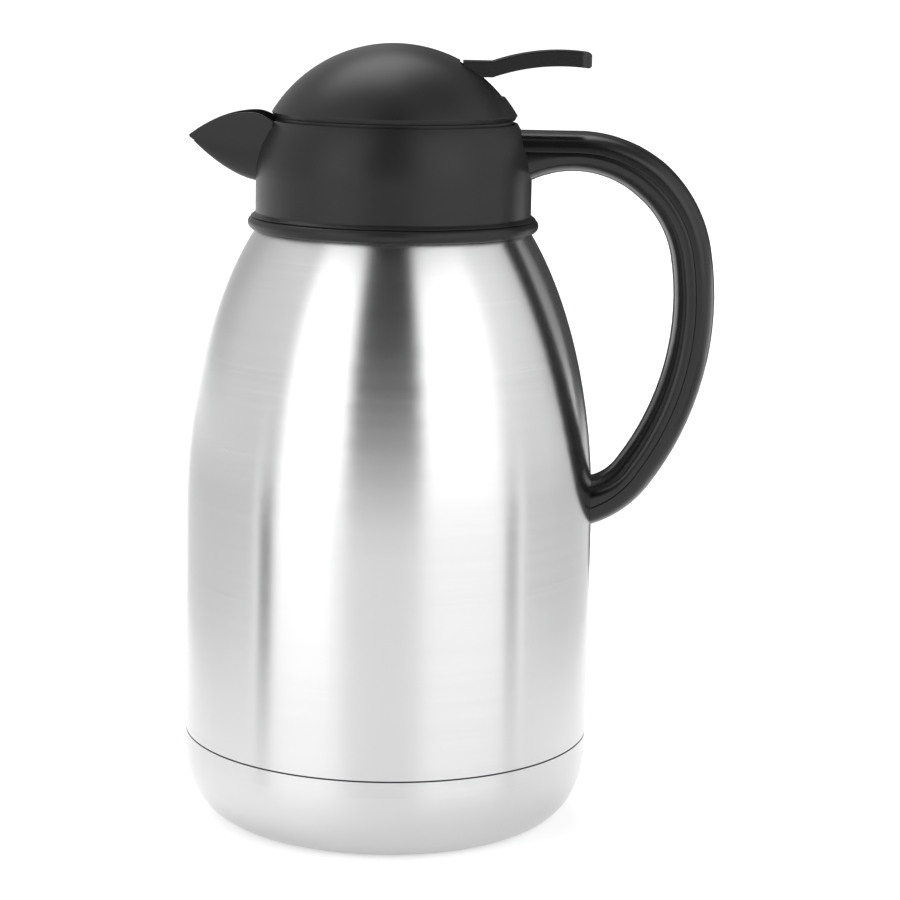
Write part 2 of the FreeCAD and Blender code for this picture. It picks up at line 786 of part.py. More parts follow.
def handle_section(place, heading, thickness, side):
    """Section of one half of the handle: a channel with round corners and a groove at the parting."""
    out = outward(heading) * side
    half = thickness / 2
    deep = handle_depth / 2
    gap = handle_parting_gap
    groove = handle_groove
    corner = min(handle_corner, half - gap - groove - handle_flat)
    bend = corner * (1 - math.sqrt(0.5))
    wall = handle_wall

    def spot(u, v):
        return place + out * u + Vector(0, v, 0)

    first = [(gap, groove - deep), (gap + groove, -deep), (half - corner, -deep)]
    last = [(half - corner, deep), (gap + groove, deep), (gap, deep - groove), (gap, deep - wall),
            (half - wall, deep - wall), (half - wall, wall - deep), (gap, wall - deep), (gap, groove - deep)]
    edges = [Part.LineSegment(spot(*a), spot(*b)).toShape() for a, b in zip(first, first[1:])]
    edges.append(Part.Arc(spot(half - corner, -deep), spot(half - bend, bend - deep),
                          spot(half, corner - deep)).toShape())
    edges.append(Part.LineSegment(spot(half, corner - deep), spot(half, deep - corner)).toShape())
    edges.append(Part.Arc(spot(half, deep - corner), spot(half - bend, deep - bend),
                          spot(half - corner, deep)).toShape())
    edges += [Part.LineSegment(spot(*a), spot(*b)).toShape() for a, b in zip(last, last[1:])]
    return Part.Wire(edges)


def flared_run(start, way, heading, length, thickness, flare, flare_run, side):
    """Straight end of one half of the handle, thicker by a flare at flare_run along it."""
    sections = []
    for share in handle_station_shares:
        along = length * share
        extra = 2 * flare * (along / flare_run) ** handle_flare_power
        sections.append(handle_section(start + way * along, heading, thickness + extra, side))
    return Part.makeLoft(sections, True, False)


def handle_half(side):
    """One half shell of the loop handle, swept along its bends, with ends that flare under the hand."""
    stops, middles, centres = handle_stops()
    edges = []
    for (a, _), middle, (b, _) in zip(stops, middles, stops[1:]):
        edges.append(Part.Arc(a, middle, b).toShape())
    first, _ = stops[0]
    widening, widening_heading = stops[handle_plain_count]
    last, heading = stops[-1]
    sweep = Part.BRepOffsetAPI.MakePipeShell(Part.Wire(edges))
    sweep.setBiNormalMode(Vector(0, 1, 0))
    sweep.add(handle_section(first, 0, handle_thickness, side))
    sweep.add(handle_section(widening, widening_heading, handle_grip_thickness, side))
    sweep.add(handle_section(last, heading, handle_foot_thickness, side))
    sweep.build()
    sweep.makeSolid()
    root_flare = handle_flare if side < 0 else 0.0
    foot_flare = handle_foot_flare if side < 0 else 0.0
    root = flared_run(first, Vector(-1, 0, 0), 0, first.x - collar_mouth, handle_thickness, root_flare,
                      first.x - collar_radius, side)
    foot = flared_run(last, forward(heading), heading, handle_foot_run, handle_foot_thickness, foot_flare,
                      handle_foot_run, side)
    half = fused(sweep.shape(), root, foot)
    return half.cut(body_solid(handle_seat_gap)).cut(collar_solid())


def handle_grip():
    """Inner half of the handle, with the hole for the upper screw."""
    grip = handle_half(-1)
    seat = handle_height - handle_thickness / 2
    sink = Part.makeCylinder(screw_head_radius + screw_play, handle_flare + screw_head_height + screw_sink,
                             at(top_screw_x, seat - handle_flare), axis_z)
    return grip.cut(sink).cut(top_screw_hole(screw_radius + screw_play))


def top_screw_hole(radius):
    seat = handle_height - handle_thickness / 2
    return Part.makeCylinder(radius, top_screw_length + screw_sink, at(top_screw_x, seat), axis_z)


def foot_frame():
    """Point on the foot's centre line under the lower screw, and the outward direction there."""
    stops, middles, centres = handle_stops()
    radius = handle_bend_radii[-1]
    heading = stops[-1][1] + foot_screw_degrees
    return centres[-1] + outward(heading) * radius, outward(heading), forward(heading)


def foot_half():
    """Half the handle's thickness at its lower screw."""
    bends = zip(handle_bend_radii, handle_bend_degrees)
    lengths = [radius * math.radians(turn) for radius, turn in bends][handle_plain_count:]
    before = sum(lengths) - handle_bend_radii[-1] * math.radians(foot_screw_degrees)
    share = before / sum(lengths)
    return (handle_grip_thickness + (handle_foot_thickness - handle_grip_thickness) * share) / 2


def foot_screw_seat():
    """Distance from the foot's centre line to the lower screw head's seat."""
    return foot_half() - screw_sink - screw_head_height


def handle_cover():
    """Outer half of the handle, with the boss and hole for the lower screw."""
    cover = handle_half(1)
    place, out, way = foot_frame()
    boss_low = lug_thickness / 2 + tongue_gap
    boss = Part.makeCylinder(foot_boss_radius, foot_half() - handle_wall / 2 - boss_low,
                             place + out * boss_low, out)
    cover = fused(cover, boss)
    seat = foot_screw_seat()
    sink = Part.makeCylinder(screw_head_radius + screw_play, handle_foot_thickness, place + out * seat, out)
    hole = Part.makeCylinder(screw_radius + screw_play, handle_foot_thickness, place, out)
    return cover.cut(sink).cut(hole)


def handle_bracket():
    """Steel lug on the body's wall, inside the handle's foot."""
    place, out, way = foot_frame()
    half = handle_depth / 2 - handle_wall - lug_clearance
    back = place - way * lug_outer
    corners = [back - out * (lug_thickness / 2), back + out * (lug_thickness / 2)]
    length = way * lug_run
    corners += [corners[1] + length, corners[0] + length]
    wire = Part.makePolygon(corners + corners[:1])
    plate = Part.Face(wire)
    plate.translate(Vector(0, -half, 0))
    plate = plate.extrude(Vector(0, 2 * half, 0))
    stops, middles, centres = handle_stops()
    last, heading = stops[-1]
    ahead = forward(heading)
    middle = last.z + ahead.z * (body_radius - last.x) / ahead.x
    pad_low = (0, -half, middle - lug_pad_height / 2)
    pad_high = (body_radius * 2, half, middle + lug_pad_height / 2)
    pad = body_solid(lug_pad_thickness).common(block(pad_low, pad_high))
    lug = fused(plate, pad).cut(body_solid(weld_gap))
    return lug.cut(Part.makeCylinder(screw_radius + screw_play, lug_thickness * 3, place - out * lug_thickness, out))


def screw(seat, way, length):
    """Screw whose head stands on seat and whose shank runs along way."""
    head = Part.makeCylinder(screw_head_radius, screw_head_height, seat, way * -1)
    shank = Part.makeCylinder(screw_radius, length, seat, way)
    return fused(head, shank)


def handle_screws():
    """The two screws of the handle, as separate solids."""
    seat = handle_height - handle_thickness / 2 + screw_head_height + screw_sink
    upper = screw(at(top_screw_x, seat), axis_z, top_screw_length - screw_head_height - screw_sink)
    place, out, way = foot_frame()
    lower = screw(place + out * foot_screw_seat(), out * -1, foot_screw_length)
    return Part.makeCompound([upper, lower])


def vacuum_port_cap():
    return disc(port_cap_radius, skirt_bottom - port_cap_height, skirt_bottom)


def getter():
    return disc(getter_radius, flask_bottom - getter_height, flask_bottom)


def neck_gasket():
    return ring(mouth_radius + gasket_inset, neck_radius - gasket_inset, lip_top, web_bottom)


pieces = (outer_shell, base_shell, vacuum_floor, vacuum_port_cap, inner_vessel, getter, neck_gasket, collar,
          collar_ring, collar_sleeve, handle_grip, handle_cover, handle_bracket, handle_screws, lid_dome,
          stopper_body, stopper_seal, lid_gasket, thumb_lever, lever_pin, valve_stem, valve_plug, valve_gasket,
          valve_spring, stem_cap)

os.makedirs("parts", exist_ok=True)
for piece in pieces:
    shape = piece()
    name = piece.__name__
    print(name, "solids", len(shape.Solids), "volume", round(shape.Volume, 1), "valid", shape.isValid())
    shape.exportStep("parts/" + name + ".step")
print("height", round(dome_top, 2), "dome radius", round(dome_radius, 2))
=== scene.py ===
"""Looks of the vacuum jug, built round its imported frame. Metres, +X towards the handle, +Z up."""
import json
import logging
import math
from dataclasses import dataclass
from enum import Enum
from typing import Optional, Sequence, Union

import bmesh
import bpy
from mathutils import Matrix, Vector


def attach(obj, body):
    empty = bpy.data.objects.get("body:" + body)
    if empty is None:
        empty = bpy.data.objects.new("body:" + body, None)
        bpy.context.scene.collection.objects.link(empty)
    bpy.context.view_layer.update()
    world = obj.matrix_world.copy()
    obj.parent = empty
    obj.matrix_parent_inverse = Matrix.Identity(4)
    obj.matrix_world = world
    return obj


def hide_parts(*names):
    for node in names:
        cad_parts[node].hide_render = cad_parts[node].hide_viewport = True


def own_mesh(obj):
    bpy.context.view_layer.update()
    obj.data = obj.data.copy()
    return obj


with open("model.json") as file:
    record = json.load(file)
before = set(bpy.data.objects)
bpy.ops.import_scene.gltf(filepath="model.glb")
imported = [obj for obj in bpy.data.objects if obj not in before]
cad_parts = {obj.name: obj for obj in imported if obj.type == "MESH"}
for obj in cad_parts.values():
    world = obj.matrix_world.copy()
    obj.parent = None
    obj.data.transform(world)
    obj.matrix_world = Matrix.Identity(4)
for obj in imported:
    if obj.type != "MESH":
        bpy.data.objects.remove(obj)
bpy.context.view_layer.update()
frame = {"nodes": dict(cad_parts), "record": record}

log = logging.getLogger("vacuum_jug")
Colour = tuple[float, float, float]
Point = tuple[float, float]
WHITE = (1.0, 1.0, 1.0, 1.0)
BLACK = (0.0, 0.0, 0.0, 1.0)
MID_GREY = 0.5
FULL_TURN = 360.0
EDGE_SAMPLES = 6
MERGE_DISTANCE = 1e-7

# Sockets of the Mix node when it mixes colours.
MIX_FACTOR = 0
MIX_LOW = 6
MIX_HIGH = 7
MIX_RESULT = 2


class Slot(Enum):
    """Finishes, named for the record's material slots, and the painted shade of the seam's groove."""

    BODY = "brushed_body"
    FLASK = "inner_steel"
    COLLAR = "collar_black"
    HANDLE = "handle_black"
    STOPPER = "stopper_black"
    SEAL = "seal"
    HARDWARE = "small_steel"
    SEAM = "seam"


class Carrier(Enum):
    """Bodies that pieces move with."""

    JUG = "jug"
    LID = "lid"


@dataclass(frozen=True)
class Signal:
    """A node's output that takes part in Python arithmetic."""

    graph: "Graph"
    socket: bpy.types.NodeSocket

    def _maths(self, operation: str, first: "Value", second: "Value") -> "Signal":
        """Adds one Math node."""
        return self.graph.node("ShaderNodeMath", {"operation": operation}, {0: first, 1: second})

    def __add__(self, other: "Value") -> "Signal":
        """Sum."""
        return self._maths("ADD", self, other)

    def __radd__(self, other: "Value") -> "Signal":
        """Sum with a number on the left."""
        return self._maths("ADD", other, self)

    def __sub__(self, other: "Value") -> "Signal":
        """Difference."""
        return self._maths("SUBTRACT", self, other)

    def __mul__(self, other: "Value") -> "Signal":
        """Product."""
        return self._maths("MULTIPLY", self, other)


Value = Union[Signal, float, int, Sequence[float]]


class Graph:
    """The node tree of one material or world."""

    def __init__(self, owner: Union[bpy.types.Material, bpy.types.World]) -> None:
        """Clears the owner's tree.

        Args:
            owner: The material or world whose nodes are made.
        """
        owner.use_nodes = True
        self.tree = owner.node_tree
        self.tree.nodes.clear()

    def node(self, kind: str, settings: Optional[dict] = None, inputs: Optional[dict] = None,
             output: Union[int, str] = 0) -> Signal:
        """Adds one node.

        Args:
            kind: The node's type name.
            settings: Attributes to set first; "stops" gives a ramp's positions and greys.
            inputs: Values or signals by socket name or number.
            output: The output that the signal stands for.

        Returns:
            The chosen output.
        """
        made = self.tree.nodes.new(kind)
        for key, value in (settings or {}).items():
            if key == "stops":
                self._ramp(made, value)
            else:
                setattr(made, key, value)
        for key, value in (inputs or {}).items():
            if isinstance(value, Signal):
                self.tree.links.new(value.socket, made.inputs[key])
            else:
                made.inputs[key].default_value = value
        return Signal(self, made.outputs[output] if made.outputs else None)

    @staticmethod
    def _ramp(made: bpy.types.Node, stops: Sequence[Point]) -> None:
        """Sets the stops of a ColorRamp node in greys."""
        elements = made.color_ramp.elements
        while len(elements) < len(stops):
            elements.new(1.0)
        for element, (place, grey) in zip(elements, stops):
            element.position = place
            element.color = (grey, grey, grey, 1.0)

    def noise(self, scale: Sequence[float], detail: float = 2.0) -> Signal:
        """Noise on Object coordinates.

        Args:
            scale: Cells per metre along X, Y and Z.
            detail: Octaves.

        Returns:
            The noise's grey value.
        """
        place = self.node("ShaderNodeTexCoord", output="Object")
        spread = self.node("ShaderNodeMapping", {}, {"Vector": place, "Scale": tuple(scale)})
        return self.node("ShaderNodeTexNoise", {}, {"Vector": spread, "Scale": 1.0, "Detail": detail})

    def blend(self, factor: Value, low: Value, high: Value) -> Signal:
        """Mixes two colours with alpha, or two colour signals."""
        return self.node("ShaderNodeMix", {"data_type": "RGBA"},
                         {MIX_FACTOR: factor, MIX_LOW: low, MIX_HIGH: high}, MIX_RESULT)

    def tint(self, factor: Value, low: Colour, high: Colour) -> Signal:
        """Mixes two plain colours."""
        return self.blend(factor, (*low, 1.0), (*high, 1.0))

    def parts(self, vector: Signal) -> tuple[Signal, Signal, Signal]:
        """The X, Y and Z of a vector."""
        x = self.node("ShaderNodeSeparateXYZ", {}, {0: vector})
        outputs = x.socket.node.outputs
        return x, Signal(self, outputs[1]), Signal(self, outputs[2])

    def bump(self, height: Signal, strength: float, distance: float, edge: float = 0.0) -> Signal:
        """Bump from a height signal, on edges that are softened where a radius is given.

        Args:
            height: The bump's height.
            strength: How far the bump turns the normal.
            distance: The height's scale in metres.
            edge: The radius in metres that the piece's edges are shaded with.

        Returns:
            The normal.
        """
        inputs = {"Height": height, "Strength": strength, "Distance": distance}
        if edge:
            inputs["Normal"] = self.node("ShaderNodeBevel", {"samples": EDGE_SAMPLES}, {"Radius": edge})
        return self.node("ShaderNodeBump", {}, inputs)

    def surface(self, **inputs: Value) -> None:
        """Ends the tree in a Principled shader."""
        named = {key.replace("_", " ").title().replace("Ior", "IOR"): value for key, value in inputs.items()}
        shader = self.node("ShaderNodeBsdfPrincipled", {}, named)
        self.node("ShaderNodeOutputMaterial", {}, {"Surface": shader})


def new_material(name: str) -> tuple[bpy.types.Material, Graph]:
    """A new material and its empty graph."""
    material = bpy.data.materials.new(name)
    return material, Graph(material)


def swung(level: float, signal: Signal, span: float) -> Signal:
    """A level that a grey signal moves up and down by half a span."""
    return level + (signal - MID_GREY) * span


def shaded(colour: Colour, share: float) -> Colour:
    """A colour made darker, or lighter where the share is above 1."""
    return tuple(share * part for part in colour)


@dataclass(frozen=True)
class BrushedSteel:
    """Stainless steel, brushed round the body's axis."""

    name: str = "brushed_steel"
    dark: Colour = (0.515, 0.515, 0.52)
    light: Colour = (0.60, 0.60, 0.60)
    roughness: float = 0.26
    roughness_swing: float = 0.07
    anisotropy: float = 0.88
    brush_turn: float = 0.25
    band_scale: tuple[float, float, float] = (2.5, 2.5, 220.0)
    line_scale: tuple[float, float, float] = (5.0, 5.0, 3200.0)
    line_detail: float = 3.0
    line_share: float = 0.65
    line_strength: float = 0.05
    line_depth: float = 3e-5

    def material(self) -> bpy.types.Material:
        """Returns the finish as a material."""
        made, graph = new_material(self.name)
        lines = graph.noise(self.line_scale, self.line_detail)
        bands = graph.noise(self.band_scale)
        mix = lines * self.line_share + bands * (1.0 - self.line_share)
        graph.surface(
            base_color=graph.tint(mix, self.dark, self.light),
            metallic=1.0,
            roughness=swung(self.roughness, mix, self.roughness_swing),
            anisotropic=self.anisotropy,
            anisotropic_rotation=self.brush_turn,
            normal=graph.bump(lines, self.line_strength, self.line_depth),
        )
        return made


@dataclass(frozen=True)
class PlainSteel:
    """Drawn steel with a soft, even polish."""

    name: str
    colour: Colour = (0.62, 0.62, 0.62)
    roughness: float = 0.3
    roughness_swing: float = 0.12
    grain_scale: float = 900.0
    grain_detail: float = 4.0
    grain_shade: float = 0.9
    grain_strength: float = 0.05
    grain_depth: float = 2e-5
    edge: float = 3e-4

    def material(self) -> bpy.types.Material:
        """Returns the finish as a material."""
        made, graph = new_material(self.name)
        grain = graph.noise((self.grain_scale,) * 3, self.grain_detail)
        graph.surface(
            base_color=graph.tint(grain, shaded(self.colour, self.grain_shade), self.colour),
            metallic=1.0,
            roughness=swung(self.roughness, grain, self.roughness_swing),
            normal=graph.bump(grain, self.grain_strength, self.grain_depth, self.edge),
        )
        return made


@dataclass(frozen=True)
class MouldedPlastic:
    """Injection-moulded plastic with a fine spark-eroded grain."""

    name: str
    colour: Colour
    roughness: float
    roughness_swing: float = 0.1
    grain_scale: float = 2600.0
    grain_strength: float = 0.12
    grain_depth: float = 3e-5
    flow_scale: float = 40.0
    flow_detail: float = 3.0
    flow_shade: float = 1.25
    edge: float = 5e-4
    specular: float = 0.28

    def material(self) -> bpy.types.Material:
        """Returns the finish as a material."""
        made, graph = new_material(self.name)
        grain = graph.noise((self.grain_scale,) * 3)
        flow = graph.noise((self.flow_scale,) * 3, self.flow_detail)
        graph.surface(
            base_color=graph.tint(flow, self.colour, shaded(self.colour, self.flow_shade)),
            roughness=swung(self.roughness, flow, self.roughness_swing),
            specular_ior_level=self.specular,
            normal=graph.bump(grain, self.grain_strength, self.grain_depth, self.edge),
        )
        return made


@dataclass(frozen=True)
class Silicone:
    """Soft grey seal."""

    name: str = "silicone"
    colour: Colour = (0.42, 0.42, 0.40)
    roughness: float = 0.55
    roughness_swing: float = 0.1
    cloud_scale: float = 220.0
    cloud_detail: float = 3.0
    cloud_shade: float = 1.15
    cloud_strength: float = 0.05
    cloud_depth: float = 2e-5

    def material(self) -> bpy.types.Material:
        """Returns the finish as a material."""
        made, graph = new_material(self.name)
        cloud = graph.noise((self.cloud_scale,) * 3, self.cloud_detail)
        graph.surface(
            base_color=graph.tint(cloud, self.colour, shaded(self.colour, self.cloud_shade)),
            roughness=swung(self.roughness, cloud, self.roughness_swing),
            normal=graph.bump(cloud, self.cloud_strength, self.cloud_depth),
        )
        return made


@dataclass(frozen=True)
class PaleFloor:
    """The white surface that the jug stands on, lit from below as a light table is."""

    name: str = "pale_floor"
    colour: Colour = (0.9, 0.9, 0.9)
    roughness: float = 0.9
    specular: float = 0.1
    glow: float = 0.38

    def material(self) -> bpy.types.Material:
        """Returns the finish as a material."""
        made, graph = new_material(self.name)
        graph.surface(base_color=(*self.colour, 1.0), roughness=self.roughness,
                      specular_ior_level=self.specular, emission_color=WHITE, emission_strength=self.glow)
        return made


@dataclass(frozen=True)
class SeamPaintedShade:
    """Painted shade for the groove at the welded seam: a near-black colour standing in for the groove's
    shadow.
    """

    name: str = "seam_painted_shade"
    colour: Colour = (0.02, 0.02, 0.02)
    roughness: float = 0.6
    roughness_swing: float = 0.2
    shade_mottle_scale: float = 700.0
    shade_mottle_detail: float = 3.0
    shade_mottle_tone: float = 2.0

    def material(self) -> bpy.types.Material:
        """Returns the finish as a material."""
        made, graph = new_material(self.name)
        # Noise mottles the painted shade a little lighter in places.
        shade_mottle = graph.noise((self.shade_mottle_scale,) * 3, self.shade_mottle_detail)
        graph.surface(base_color=graph.tint(shade_mottle, self.colour, shaded(self.colour, self.shade_mottle_tone)),
                      roughness=swung(self.roughness, shade_mottle, self.roughness_swing))
        return made


FINISHES = {
    Slot.BODY: BrushedSteel(),
    Slot.FLASK: PlainSteel("flask_steel", (0.66, 0.66, 0.66), 0.25),
    Slot.COLLAR: MouldedPlastic("collar_plastic", (0.009, 0.009, 0.0093), 0.36, specular=0.25),
    Slot.HANDLE: MouldedPlastic("handle_plastic", (0.004, 0.004, 0.0042), 0.22, grain_strength=0.05,
                                specular=0.34),
    Slot.STOPPER: MouldedPlastic("stopper_plastic", (0.028, 0.028, 0.029), 0.5),
    Slot.SEAL: Silicone(),
    Slot.HARDWARE: PlainSteel("hardware_steel"),
    Slot.SEAM: SeamPaintedShade(),
}


class Palette:
    """Makes each finish's material once and puts it on pieces."""

    def __init__(self) -> None:
        """Makes all the materials."""
        self.materials = {slot: finish.material() for slot, finish in FINISHES.items()}

    def dress(self, piece: bpy.types.Object, slot: Slot) -> None:
        """Gives a piece the finish of a slot.

        Args:
            piece: A CAD node's object or a new piece.
            slot: The record's material slot.
        """
        piece.data.materials.clear()
        piece.data.materials.append(self.materials[slot])

    def dress_nodes(self) -> None:
        """Gives every CAD node the finish of its own slot."""
        for entry in frame["record"]["subparts"]:
            self.dress(frame["nodes"][entry["node"]], Slot(entry["material_slot"]))


@dataclass(frozen=True)
class Surround:
    """Light from all round the jug: two tall softboxes with a dark gap behind the camera, and a top light.

    A stop is a bearing in degrees from the camera's side, positive to the right, and a radiance. A rise is
    the two elevations in degrees between which one ring of light passes into the next.
    """

    low: tuple[Point, ...] = (
        (-180.0, 0.6), (-140.0, 0.62), (-110.0, 0.95), (-66.0, 1.0), (-59.0, 2.4), (-27.0, 2.4),
        (-19.0, 0.4), (16.0, 0.4), (24.0, 2.2), (62.0, 2.2), (74.0, 1.1), (104.0, 1.05), (128.0, 0.5),
        (150.0, 0.12), (180.0, 0.3),
    )
    high: tuple[Point, ...] = (
        (-180.0, 0.6), (-140.0, 0.62), (-110.0, 1.0), (-66.0, 1.08), (-59.0, 2.4), (-27.0, 2.4),
        (-19.0, 0.0), (16.0, 0.0), (24.0, 2.3), (62.0, 2.3), (74.0, 1.5), (104.0, 1.15), (128.0, 0.5),
        (150.0, 0.12), (180.0, 0.3),
    )
    top: tuple[Point, ...] = (
        (-180.0, 4.5), (-125.0, 4.5), (-95.0, 0.6), (-45.0, 0.9), (-16.0, 0.02), (14.0, 0.02),
        (45.0, 0.8), (85.0, 0.4), (140.0, 0.4), (165.0, 3.0), (180.0, 4.5),
    )
    rise: Point = (2.0, 18.0)
    top_rise: Point = (40.0, 60.0)
    backdrop: float = 1.2

    def build(self) -> None:
        """Makes the world."""
        world = bpy.data.worlds.new("studio")
        bpy.context.scene.world = world
        graph = Graph(world)
        x, y, z = graph.parts(graph.node("ShaderNodeTexCoord", output="Generated"))
        bearing = graph.node("ShaderNodeMath", {"operation": "ARCTAN2"}, {0: x, 1: y * -1.0})
        share = bearing * (0.5 / math.pi) + 0.5
        glow = graph.blend(self._step(graph, z, self.rise), self._ring(graph, share, self.low),
                           self._ring(graph, share, self.high))
        glow = graph.blend(self._step(graph, z, self.top_rise), glow, self._ring(graph, share, self.top))
        seen = graph.node("ShaderNodeLightPath", output="Is Camera Ray")
        shade = graph.blend(seen, glow, (*(self.backdrop,) * 3, 1.0))
        light = graph.node("ShaderNodeBackground", {}, {"Color": shade, "Strength": 1.0})
        graph.node("ShaderNodeOutputWorld", {}, {"Surface": light})

    @staticmethod
    def _ring(graph: Graph, share: Signal, stops: Sequence[Point]) -> Signal:
        """Radiance by bearing."""
        placed = [(bearing / FULL_TURN + 0.5, radiance) for bearing, radiance in stops]
        return graph.node("ShaderNodeValToRGB", {"stops": placed}, {0: share})

    @staticmethod
    def _step(graph: Graph, z: Signal, span: Point) -> Signal:
        """Smooth step between two elevations in degrees."""
        low, high = (math.sin(math.radians(angle)) for angle in span)
        return graph.node("ShaderNodeMapRange", {"interpolation_type": "SMOOTHSTEP"},
                          {0: z, 1: low, 2: high})


@dataclass(frozen=True)
class Card:
    """An upright card on the floor, dark or glowing, that only reflections see."""

    name: str
    bearing: float
    distance: float
    width: float
    height: float
    glow: float = 0.0

    def build(self) -> None:
        """Adds the card, as one face of unit side stretched to its size."""
        bm = flat_sheet(1.0)
        place = (Matrix.Rotation(math.radians(self.bearing), 4, "Z")
                 @ Matrix.Translation((0.0, -self.distance, self.height / 2))
                 @ Matrix.Rotation(math.pi / 2, 4, "X")
                 @ Matrix.Diagonal((self.width, self.height, 1.0, 1.0)))
        bmesh.ops.transform(bm, matrix=place, verts=bm.verts)
        card = mesh_object(self.name, bm)
        card.data.materials.append(self._material())
        card.visible_camera = False
        card.visible_diffuse = False
        card.visible_shadow = False

    def _material(self) -> bpy.types.Material:
        """Returns an even glow, or black."""
        made, graph = new_material(self.name)
        graph.surface(base_color=BLACK, specular_ior_level=0.0, emission_color=WHITE,
                      emission_strength=self.glow)
        return made


@dataclass(frozen=True)
class Studio:
    """Camera, light, cards and floor."""

    camera_place: tuple[float, float, float] = (0.02227, -0.96281, 0.31377)
    camera_pitch: float = 10.43
    camera_roll: float = 1.11
    lens: float = 105.89
    sensor: float = 36.0
    floor_side: float = 8.0
    surround: Surround = Surround()
    cards: tuple[Card, ...] = (
        Card("left_flag", -63.0, 0.33, 0.045, 0.1),
        Card("right_flag", 67.0, 0.36, 0.05, 0.1, 0.4),
        Card("left_wall", -108.0, 0.28, 0.42, 0.12, 0.95),
        Card("right_wall", 112.0, 0.28, 0.42, 0.12, 0.95),
        Card("left_softbox", -42.0, 0.42, 0.22, 0.13, 2.1),
        Card("back_flag", 160.0, 0.42, 0.4, 0.4, 0.08),
    )

    def build(self) -> None:
        """Makes the whole studio."""
        self._camera()
        self._floor()
        self.surround.build()
        for card in self.cards:
            card.build()
        bpy.context.scene.view_settings.view_transform = "Standard"

    def _camera(self) -> None:
        """Sets the camera at the photograph's viewpoint."""
        data = bpy.data.cameras.new("camera")
        data.lens = self.lens
        data.sensor_width = self.sensor
        camera = bpy.data.objects.new("camera", data)
        tilt = Matrix.Rotation(math.radians(90.0 - self.camera_pitch), 4, "X")
        roll = Matrix.Rotation(math.radians(self.camera_roll), 4, "Z")
        camera.matrix_world = Matrix.Translation(self.camera_place) @ tilt @ roll
        bpy.context.scene.collection.objects.link(camera)
        bpy.context.scene.camera = camera

    def _floor(self) -> None:
        """Lays the pale floor at the jug's rest plane."""
        floor = mesh_object("floor", flat_sheet(self.floor_side))
        floor.data.materials.append(PaleFloor().material())


def flat_sheet(side: float) -> bmesh.types.BMesh:
    """A new mesh of one square face in the XY plane, centred on the origin."""
    bm = bmesh.new()
    bmesh.ops.create_grid(bm, x_segments=1, y_segments=1, size=side / 2)
    return bm


def mesh_object(name: str, bm: bmesh.types.BMesh) -> bpy.types.Object:
    """Turns a bmesh into an object at the origin.

    Args:
        name: The piece's name.
        bm: The mesh, which is freed.

    Returns:
        The new object, linked to the scene.
    """
    mesh = bpy.data.meshes.new(name)
    bm.to_mesh(mesh)
    bm.free()
    made = bpy.data.objects.new(name, mesh)
    bpy.context.scene.collection.objects.link(made)
    return made


def close_up(bm: bmesh.types.BMesh, crease: float = 35.0) -> None:
    """Fills open ends, merges doubles, turns faces outwards and smooths all but sharp edges.

    Args:
        bm: The mesh to finish.
        crease: Degrees between faces above which an edge stays sharp.
    """
    bmesh.ops.remove_doubles(bm, verts=bm.verts, dist=MERGE_DISTANCE)
    bmesh.ops.holes_fill(bm, edges=[edge for edge in bm.edges if edge.is_boundary])
    bmesh.ops.recalc_face_normals(bm, faces=bm.faces)
    for face in bm.faces:
        face.smooth = True
    for edge in bm.edges:
        edge.smooth = edge.calc_face_angle(0.0) < math.radians(crease)


def outline(bm: bmesh.types.BMesh, points: Sequence[Point]) -> list[bmesh.types.BMEdge]:
    """Closed outline in the XZ plane, from (radius, height) points."""
    verts = [bm.verts.new((x, 0.0, z)) for x, z in points]
    return [bm.edges.new((verts[index - 1], verts[index])) for index in range(len(verts))]


def ends(edges: Sequence[bmesh.types.BMEdge]) -> list[bmesh.types.BMVert]:
    """The edges' vertices, each once."""
    return list(dict.fromkeys(vert for edge in edges for vert in edge.verts))


def turned(bm: bmesh.types.BMesh, edges: Sequence[bmesh.types.BMEdge], angle: float, rise: float,
           steps: int) -> list[bmesh.types.BMEdge]:
    """Turns edges about the jug's axis while they rise.

    Args:
        bm: The mesh.
        edges: The outline.
        angle: Degrees; 360 with no rise closes the ring.
        rise: How far the end lies above the start.
        steps: Segments along the way.

    Returns:
        The outline's last edges.
    """
    closed = rise == 0.0 and angle == FULL_TURN
    made = bmesh.ops.spin(bm, geom=[*ends(edges), *edges], cent=(0.0, 0.0, 0.0), axis=(0.0, 0.0, 1.0),
                          dvec=(0.0, 0.0, rise / steps), angle=math.radians(angle), steps=steps,
                          use_merge=closed)
    return [part for part in made["geom_last"] if isinstance(part, bmesh.types.BMEdge)]


def lofted(bm: bmesh.types.BMesh, rings: Sequence[Sequence[Vector]]) -> None:
    """Joins rings of points, each with the same count, by bands of faces."""
    rows = [[bm.verts.new(point) for point in ring] for ring in rings]
    for near, far in zip(rows, rows[1:]):
        for index in range(len(near)):
            bm.faces.new((near[index - 1], near[index], far[index], far[index - 1]))


def outward(heading: float) -> Vector:
    """Direction square to a heading in the XZ plane, which is in radians from +X."""
    return Vector((-math.sin(heading), 0.0, math.cos(heading)))


@dataclass
class SeamShadeRing:
    """Dark ring in the groove between the wall and the base cup, put there as painted shade for the groove's
    shadow.
    """

    palette: Palette
    inner: float = 0.07402
    outer: float = 0.07445
    low: float = 0.03165
    high: float = 0.03215
    segments: int = 192

    def build(self) -> list[bpy.types.Object]:
        """Returns the ring, riding on the jug."""
        bm = bmesh.new()
        edges = outline(bm, ((self.inner, self.low), (self.outer, self.low), (self.outer, self.high),
                             (self.inner, self.high)))
        turned(bm, edges, FULL_TURN, 0.0, self.segments)
        close_up(bm)
        ring = mesh_object("seam_shade_ring", bm)
        # The ring carries the groove's painted shade.
        self.palette.dress(ring, Slot.SEAM)
        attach(ring, Carrier.JUG.value)
        return [ring]


